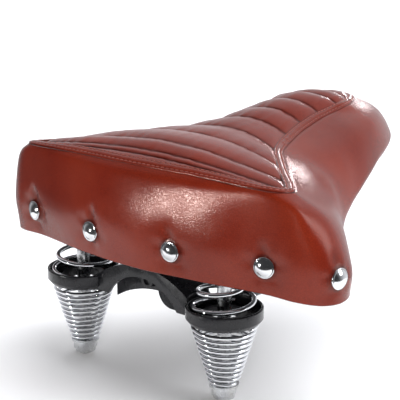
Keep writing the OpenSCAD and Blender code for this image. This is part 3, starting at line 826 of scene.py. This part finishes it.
UPPER_START = {-1: 228, 1: 110}
UPPER_PROFILE = [(5.5, 18.7), (15, 16), (18, 14.6), (21, 11.4), (24.2, 7.6), (42.3, 6.2)]
LOWER_PROFILE = [(-37.3, 7.6), (0, 18.9)]
for s, hand in ((-1, "left"), (1, "right")):
    for kind, wire_r, turns, profile, start in (
            ("upper_spring_", 1.4, 4.1, UPPER_PROFILE, UPPER_START[s]),
            ("lower_spring_", 1.1, 11, LOWER_PROFILE, 0)):
        low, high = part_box(kind + hand)
        ends = [(low.z - CUPS_Z) * 1000 + wire_r, (high.z - CUPS_Z) * 1000 - wire_r]
        fixed, moving = low.z, high.z
        if kind == "lower_spring_":
            ends.reverse()
            fixed, moving = moving, fixed
        piece = coil(wire_r, ends[0], ends[1], turns, profile, start, s)
        piece.name = kind + hand + "_wire"
        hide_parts(kind + hand)
        dress(piece, chrome)
        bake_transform(piece)

skirt = build_skirt()
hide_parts("leather_skirt")
dress(skirt, skin, "seat")

quilt = build_quilt()
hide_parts("top_panel")
dress(quilt, quilt_skin, "seat")

band = build_band()
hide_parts("seam_welt")
dress(band, band_skin, "seat")
stitches = build_stitches()
dress(stitches, thread, "seat")


def build_rivets():
    """Six domed heads with a rim ring, each on its shank."""
    profile = [(0, 2.30), (1.0, 2.25), (2.0, 2.08), (3.0, 1.80), (3.9, 1.42), (4.6, 1.02),
               (4.95, 0.80), (5.15, 0.74), (5.45, 0.78), (5.75, 0.70), (5.95, 0.45),
               (6.0, 0.20), (5.95, -0.30), (2.0, -0.35), (2.0, -8.3), (1.75, -8.55), (0, -8.55)]
    parts = []
    for centre, axis, across, s in rivet_frames():
        parts.append(lathe([(r / 1000, h / 1000) for r, h in profile], place(centre),
                           axis, 56))
    points, faces = join(parts)
    obj = make("rivet_heads", points, faces, angle=50)
    bm = bmesh.new()
    bm.from_mesh(obj.data)
    bmesh.ops.remove_doubles(bm, verts=bm.verts, dist=1e-6)
    bm.to_mesh(obj.data)
    bm.free()
    return obj


rivets = build_rivets()
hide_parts("rear_rivets")
dress(rivets, rivet_chrome, "seat")

for node, width, material, slot_name, body in (
        ("spring_bridge", 0.0009, enamel, "black_steel", "frame"),
        ("cup_left", 0.0004, enamel, "black_steel", "frame"),
        ("cup_right", 0.0004, enamel, "black_steel", "frame"),
        ("rail_anchor", 0.0012, enamel, "black_steel", "frame"),
        ("nose_clip", 0.0006, enamel, "black_steel", "seat"),
        ("lower_nut_left", 0.0005, zinc, "zinc_steel", "seat"),
        ("lower_nut_right", 0.0005, zinc, "zinc_steel", "seat"),
        ("base_pan", 0.0006, pan_plastic, "pan_plastic", "seat")):
    piece = soften(node, width)
    dress(piece, material, body)

for name, obj in nodes.items():
    if obj.hide_render:
        continue
    if name in ("rail_wire", "anchor_screws"):
        material = enamel
    elif "bush" in name:
        material = nylon
    elif name == "foam_pad":
        material = foam
    else:
        material = zinc
    obj.data.materials.clear()
    obj.data.materials.append(material)

# ---------------------------------------------------------------- studio
low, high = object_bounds()
ground = Shader("floor")
pale = ground.mix(ground.noise(6, 2), rgb(0.93, 0.93, 0.93), rgb(0.95, 0.95, 0.95))
ground.set(Base_Color=pale, Roughness=0.9, Specular_IOR_Level=0.1)


def floor_sheet(name, centre_y, half_x, half_y, height):
    mesh = bpy.data.meshes.new(name)
    mesh.from_pydata([(-half_x, centre_y - half_y, height), (half_x, centre_y - half_y, height),
                      (half_x, centre_y + half_y, height), (-half_x, centre_y + half_y, height)],
                     [], [(0, 1, 2, 3)])
    obj = bpy.data.objects.new(name, mesh)
    scene.collection.objects.link(obj)
    obj.data.materials.append(ground.mat)
    return obj


# Mirror-like parts see only the part of the floor near the saddle, as though the
# rest of the studio were dark
floor = floor_sheet("floor", 0, 12, 12, low[2])
floor.visible_glossy = False
near_floor = floor_sheet("near_floor", -0.04, 0.30, 0.22, low[2] + 0.0001)
near_floor.visible_camera = False
near_floor.visible_diffuse = False
near_floor.visible_shadow = False

world = bpy.data.worlds.new("studio")
scene.world = world
world.use_nodes = True
tree = world.node_tree
towards = tree.nodes.new("ShaderNodeVectorMath")
towards.operation = "DOT_PRODUCT"
tree.links.new(tree.nodes.new("ShaderNodeTexCoord").outputs["Generated"], towards.inputs[0])
towards.inputs[1].default_value = Vector((-0.25, 0.90, 0.35)).normalized()
spread = tree.nodes.new("ShaderNodeMapRange")
spread.interpolation_type = "SMOOTHSTEP"
spread.inputs["From Min"].default_value = -0.35
spread.inputs["From Max"].default_value = 0.85
spread.inputs["To Min"].default_value = 0.05
spread.inputs["To Max"].default_value = 0.9
tree.links.new(towards.outputs["Value"], spread.inputs["Value"])
tree.nodes["Background"].inputs["Color"].default_value = rgb(0.95, 0.96, 1)
backdrop = tree.nodes.new("ShaderNodeMath")
backdrop.operation = "MAXIMUM"
tree.links.new(spread.outputs["Result"], backdrop.inputs[0])
tree.links.new(tree.nodes.new("ShaderNodeLightPath").outputs["Is Camera Ray"],
               backdrop.inputs[1])
tree.links.new(backdrop.outputs["Value"], tree.nodes["Background"].inputs["Strength"])


def softbox(name, position, target, width, height, power, colour=(1, 1, 1),
            diffuse=True, glossy=True):
    light = bpy.data.lights.new(name, "AREA")
    light.shape = "RECTANGLE"
    light.size = width
    light.size_y = height
    light.energy = power
    light.color = colour
    obj = bpy.data.objects.new(name, light)
    obj.location = position
    aim = Vector(target) - Vector(position)
    obj.rotation_euler = aim.to_track_quat("-Z", "Y").to_euler()
    obj.visible_camera = False
    obj.visible_diffuse = diffuse
    obj.visible_glossy = glossy
    scene.collection.objects.link(obj)
    return obj


sky = bpy.data.lights.new("overhead", "SUN")
sky.angle = math.radians(70)
sky.energy = 3.5
sky.color = (0.96, 0.97, 1.0)
overhead = bpy.data.objects.new("overhead", sky)
overhead.rotation_euler = Vector((-0.05, -0.45, -0.9)).to_track_quat("-Z", "Y").to_euler()
overhead.visible_glossy = False
scene.collection.objects.link(overhead)
middle = (0, 0, 0.05)
tail = (0, -0.1, 0.07)
softbox("front_fill", (0.95, -1.25, 0.20), tail, 0.6, 0.5, 22, (1.0, 0.97, 0.94), glossy=False)
softbox("tail_highlight", (-0.247, -0.60, 0.045), tail, 0.04, 0.03, 1.3, diffuse=False)
softbox("far_left", (-0.84, 1.98, 0.53), middle, 0.15, 0.12, 1.8, (1.0, 0.98, 1.0))
softbox("right_side", (1.7, 0.9, 0.8), middle, 0.8, 1.1, 12, (0.95, 0.96, 1.0))

scene.view_settings.view_transform = "Standard"
scene.view_settings.look = "None"

camera = bpy.data.objects.new("camera", bpy.data.cameras.new("camera"))
camera.data.sensor_width = 36
camera.data.lens = 108
camera.location = (0.45048, -0.57158, 0.24581)
camera.rotation_euler = (math.radians(75.145), 0, math.radians(40.014))
scene.collection.objects.link(camera)
scene.camera = camera
